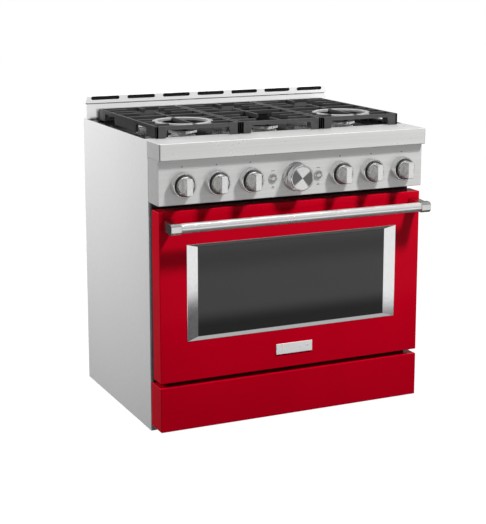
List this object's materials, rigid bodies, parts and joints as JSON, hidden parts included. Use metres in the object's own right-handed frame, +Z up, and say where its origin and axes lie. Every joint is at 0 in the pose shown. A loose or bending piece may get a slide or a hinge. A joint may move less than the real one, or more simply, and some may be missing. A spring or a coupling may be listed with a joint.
{
  "type": "freestanding gas range",
  "caption": "Freestanding gas range with burners under cast-iron grates, push-to-turn knobs, a drop-down oven door with a window, wire racks and levelling feet.",
  "frame": {"origin": "on the floor, in the middle of the overall width and depth", "axes": "+X to the right seen from the front, +Y to the back, +Z up"},
  "size_m": [0.9112, 0.7684, 0.9906],
  "materials": {
    "stainless": "brushed, grain along X",
    "polished": "polished",
    "side_steel": "satin",
    "galvanised": "galvanised",
    "red_enamel": "gloss enamel",
    "black_enamel": "gloss enamel",
    "oven_enamel": "speckled enamel",
    "cast_iron": "matte enamelled",
    "burner_aluminium": "cast",
    "dark_glass": "tinted",
    "brass": "machined",
    "black_plastic": "matte"
  },
  "bodies": {
    "range_body": {"chassis_pan": "galvanised", "side_panel_left": "side_steel", "side_panel_right": "side_steel", "back_panel": "galvanised", "kick_panel": "red_enamel", "front_rim": "stainless", "backguard": "stainless", "cooktop_pan": "black_enamel", "burner_body_left_front": "burner_aluminium", "burner_cap_left_front": "cast_iron", "burner_body_middle_front": "burner_aluminium", "burner_cap_middle_front": "cast_iron", "burner_body_right_front": "burner_aluminium", "burner_cap_right_front": "cast_iron", "burner_body_left_rear": "burner_aluminium", "burner_cap_left_rear": "cast_iron", "burner_body_middle_rear": "burner_aluminium", "burner_cap_middle_rear": "cast_iron", "burner_body_right_rear": "burner_aluminium", "burner_cap_right_rear": "cast_iron", "gas_manifold": "brass", "control_panel": "stainless", "oven_liner": "oven_enamel", "broil_burner": "galvanised", "bake_burner": "galvanised", "hinge_arm_left": "galvanised", "hinge_arm_right": "galvanised"},
    "oven_door": {"door_outer_panel": "red_enamel", "door_inner_panel": "black_enamel", "window_trim": "polished", "window_outer_glass": "dark_glass", "window_inner_glass": "dark_glass", "handle_bar": "polished", "handle_bracket_left": "polished", "handle_bracket_right": "polished"},
    "levelling_foot_front_left_screw": {"levelling_foot_front_left": "black_plastic"},
    "levelling_foot_front_right_screw": {"levelling_foot_front_right": "black_plastic"},
    "levelling_foot_back_left_screw": {"levelling_foot_back_left": "black_plastic"},
    "levelling_foot_back_right_screw": {"levelling_foot_back_right": "black_plastic"},
    "grate_left_casting": {"grate_left": "cast_iron"},
    "grate_middle_casting": {"grate_middle": "cast_iron"},
    "grate_right_casting": {"grate_right": "cast_iron"},
    "valve_stem_left_front_spindle": {"valve_stem_left_front": "brass"},
    "burner_knob_left_front_grip": {"burner_knob_left_front": "polished"},
    "valve_stem_left_rear_spindle": {"valve_stem_left_rear": "brass"},
    "burner_knob_left_rear_grip": {"burner_knob_left_rear": "polished"},
    "valve_stem_middle_rear_spindle": {"valve_stem_middle_rear": "brass"},
    "burner_knob_middle_rear_grip": {"burner_knob_middle_rear": "polished"},
    "valve_stem_middle_front_spindle": {"valve_stem_middle_front": "brass"},
    "burner_knob_middle_front_grip": {"burner_knob_middle_front": "polished"},
    "valve_stem_right_rear_spindle": {"valve_stem_right_rear": "brass"},
    "burner_knob_right_rear_grip": {"burner_knob_right_rear": "polished"},
    "valve_stem_right_front_spindle": {"valve_stem_right_front": "brass"},
    "burner_knob_right_front_grip": {"burner_knob_right_front": "polished"},
    "oven_knob_dial": {"oven_knob": "polished"},
    "light_button_cap": {"light_button": "polished"},
    "fan_button_cap": {"fan_button": "polished"},
    "oven_rack_lower_wire": {"oven_rack_lower": "polished"},
    "oven_rack_upper_wire": {"oven_rack_upper": "polished"},
    "convection_fan_wheel": {"convection_fan": "galvanised"}
  },
  "joints": [
    {"name": "oven_door_drop", "type": "hinge", "parent": "range_body", "child": "oven_door", "pos_m": [0, -0.275, 0.2], "axis": [1, 0, 0], "range_deg": [0, 90], "stiffness_Nm_per_rad": 15, "springref_deg": -17.19},
    {"name": "levelling_foot_front_left_turn", "type": "hinge", "parent": "range_body", "child": "levelling_foot_front_left_screw", "pos_m": [-0.4104, -0.1518, 0], "axis": [0, 0, 1], "continuous": true},
    {"name": "levelling_foot_front_right_turn", "type": "hinge", "parent": "range_body", "child": "levelling_foot_front_right_screw", "pos_m": [0.4104, -0.1518, 0], "axis": [0, 0, 1], "continuous": true},
    {"name": "levelling_foot_back_left_turn", "type": "hinge", "parent": "range_body", "child": "levelling_foot_back_left_screw", "pos_m": [-0.4104, 0.3292, 0], "axis": [0, 0, 1], "continuous": true},
    {"name": "levelling_foot_back_right_turn", "type": "hinge", "parent": "range_body", "child": "levelling_foot_back_right_screw", "pos_m": [0.4104, 0.3292, 0], "axis": [0, 0, 1], "continuous": true},
    {"name": "grate_left_lift", "type": "slide", "parent": "range_body", "child": "grate_left_casting", "axis": [0, 0, 1], "range_m": [0, 0.1]},
    {"name": "grate_middle_lift", "type": "slide", "parent": "range_body", "child": "grate_middle_casting", "axis": [0, 0, 1], "range_m": [0, 0.1]},
    {"name": "grate_right_lift", "type": "slide", "parent": "range_body", "child": "grate_right_casting", "axis": [0, 0, 1], "range_m": [0, 0.1]},
    {"name": "burner_knob_left_front_turn", "type": "hinge", "parent": "range_body", "child": "valve_stem_left_front_spindle", "pos_m": [-0.3774, -0.3058, 0.7855], "axis": [0, -1, 0], "range_deg": [0, 225]},
    {"name": "burner_knob_left_front_push", "type": "slide", "parent": "valve_stem_left_front_spindle", "child": "burner_knob_left_front_grip", "axis": [0, 1, 0], "range_m": [0, 0.003], "stiffness_N_per_m": 1500, "springref_m": -0.002},
    {"name": "burner_knob_left_rear_turn", "type": "hinge", "parent": "range_body", "child": "valve_stem_left_rear_spindle", "pos_m": [-0.26595, -0.3058, 0.7855], "axis": [0, -1, 0], "range_deg": [0, 225]},
    {"name": "burner_knob_left_rear_push", "type": "slide", "parent": "valve_stem_left_rear_spindle", "child": "burner_knob_left_rear_grip", "axis": [0, 1, 0], "range_m": [0, 0.003], "stiffness_N_per_m": 1500, "springref_m": -0.002},
    {"name": "burner_knob_middle_rear_turn", "type": "hinge", "parent": "range_body", "child": "valve_stem_middle_rear_spindle", "pos_m": [-0.1545, -0.3058, 0.7855], "axis": [0, -1, 0], "range_deg": [0, 225]},
    {"name": "burner_knob_middle_rear_push", "type": "slide", "parent": "valve_stem_middle_rear_spindle", "child": "burner_knob_middle_rear_grip", "axis": [0, 1, 0], "range_m": [0, 0.003], "stiffness_N_per_m": 1500, "springref_m": -0.002},
    {"name": "burner_knob_middle_front_turn", "type": "hinge", "parent": "range_body", "child": "valve_stem_middle_front_spindle", "pos_m": [0.1545, -0.3058, 0.7855], "axis": [0, -1, 0], "range_deg": [0, 225]},
    {"name": "burner_knob_middle_front_push", "type": "slide", "parent": "valve_stem_middle_front_spindle", "child": "burner_knob_middle_front_grip", "axis": [0, 1, 0], "range_m": [0, 0.003], "stiffness_N_per_m": 1500, "springref_m": -0.002},
    {"name": "burner_knob_right_rear_turn", "type": "hinge", "parent": "range_body", "child": "valve_stem_right_rear_spindle", "pos_m": [0.26595, -0.3058, 0.7855], "axis": [0, -1, 0], "range_deg": [0, 225]},
    {"name": "burner_knob_right_rear_push", "type": "slide", "parent": "valve_stem_right_rear_spindle", "child": "burner_knob_right_rear_grip", "axis": [0, 1, 0], "range_m": [0, 0.003], "stiffness_N_per_m": 1500, "springref_m": -0.002},
    {"name": "burner_knob_right_front_turn", "type": "hinge", "parent": "range_body", "child": "valve_stem_right_front_spindle", "pos_m": [0.3774, -0.3058, 0.7855], "axis": [0, -1, 0], "range_deg": [0, 225]},
    {"name": "burner_knob_right_front_push", "type": "slide", "parent": "valve_stem_right_front_spindle", "child": "burner_knob_right_front_grip", "axis": [0, 1, 0], "range_m": [0, 0.003], "stiffness_N_per_m": 1500, "springref_m": -0.002},
    {"name": "oven_knob_turn", "type": "hinge", "parent": "range_body", "child": "oven_knob_dial", "pos_m": [0, -0.3058, 0.7855], "axis": [0, -1, 0], "range_deg": [0, 270]},
    {"name": "light_button_push", "type": "slide", "parent": "range_body", "child": "light_button_cap", "axis": [0, 1, 0], "range_m": [0, 0.0015], "stiffness_N_per_m": 900, "springref_m": -0.0015},
    {"name": "fan_button_push", "type": "slide", "parent": "range_body", "child": "fan_button_cap", "axis": [0, 1, 0], "range_m": [0, 0.0015], "stiffness_N_per_m": 900, "springref_m": -0.0015},
    {"name": "oven_rack_lower_slide", "type": "slide", "parent": "range_body", "child": "oven_rack_lower_wire", "axis": [0, -1, 0], "range_m": [0, 0.02]},
    {"name": "oven_rack_upper_slide", "type": "slide", "parent": "range_body", "child": "oven_rack_upper_wire", "axis": [0, -1, 0], "range_m": [0, 0.02]},
    {"name": "convection_fan_spin", "type": "hinge", "parent": "range_body", "child": "convection_fan_wheel", "pos_m": [0, 0.2372, 0.44325], "axis": [0, -1, 0], "continuous": true}
  ]
}
